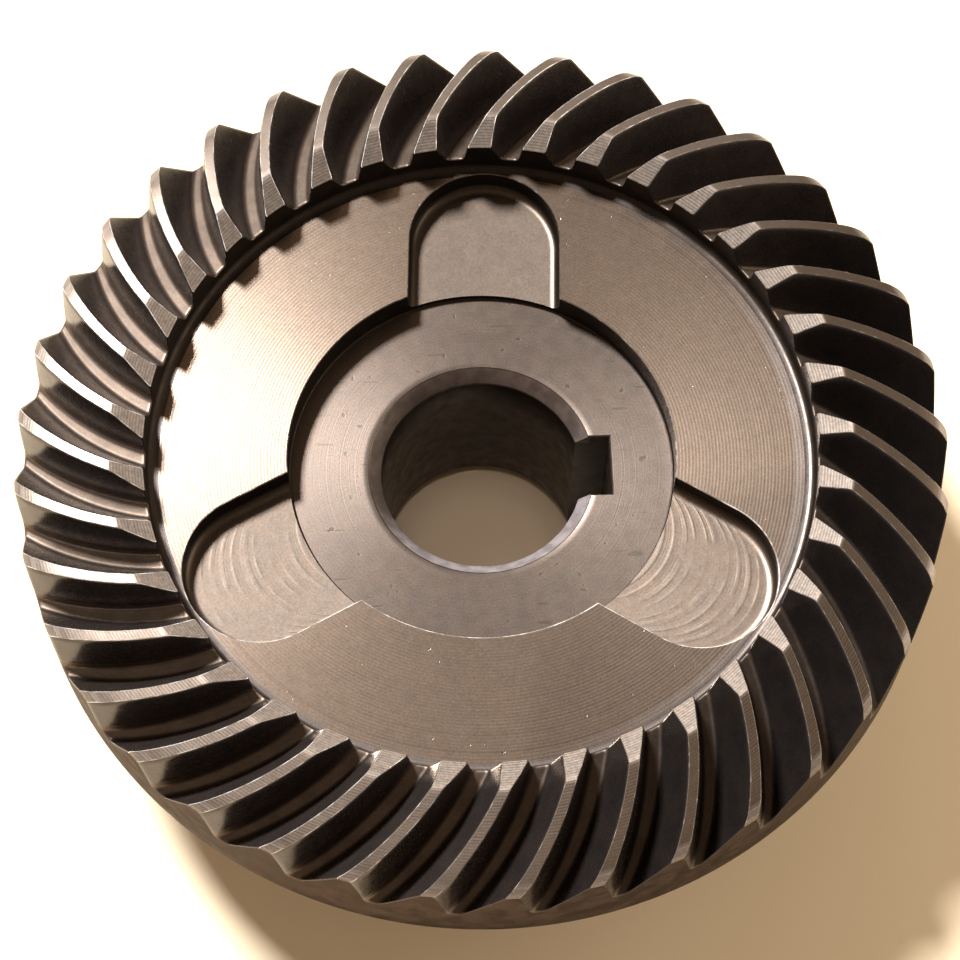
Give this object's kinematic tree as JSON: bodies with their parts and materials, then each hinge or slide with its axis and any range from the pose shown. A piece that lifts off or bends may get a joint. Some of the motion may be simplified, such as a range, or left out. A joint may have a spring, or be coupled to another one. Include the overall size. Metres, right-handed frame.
{
  "type": "spiral bevel crown gear",
  "caption": "Spiral bevel crown gear with curved teeth on its face, a recessed disc with U-shaped pockets, a counterbore, and a keyed bore running through a long rear boss.",
  "frame": {"origin": "on the gear axis at the end face of the rear boss", "axes": "+Z along the axis towards the teeth, +X through the middle of the keyway"},
  "size_m": [0.0727, 0.0727, 0.0248],
  "materials": {
    "gear_steel": "turned and milled steel, warm grey-brown, with dark glossy oxide on the tooth flanks"
  },
  "bodies": {
    "root": {"crown_gear": "gear_steel"}
  },
  "joints": []
}
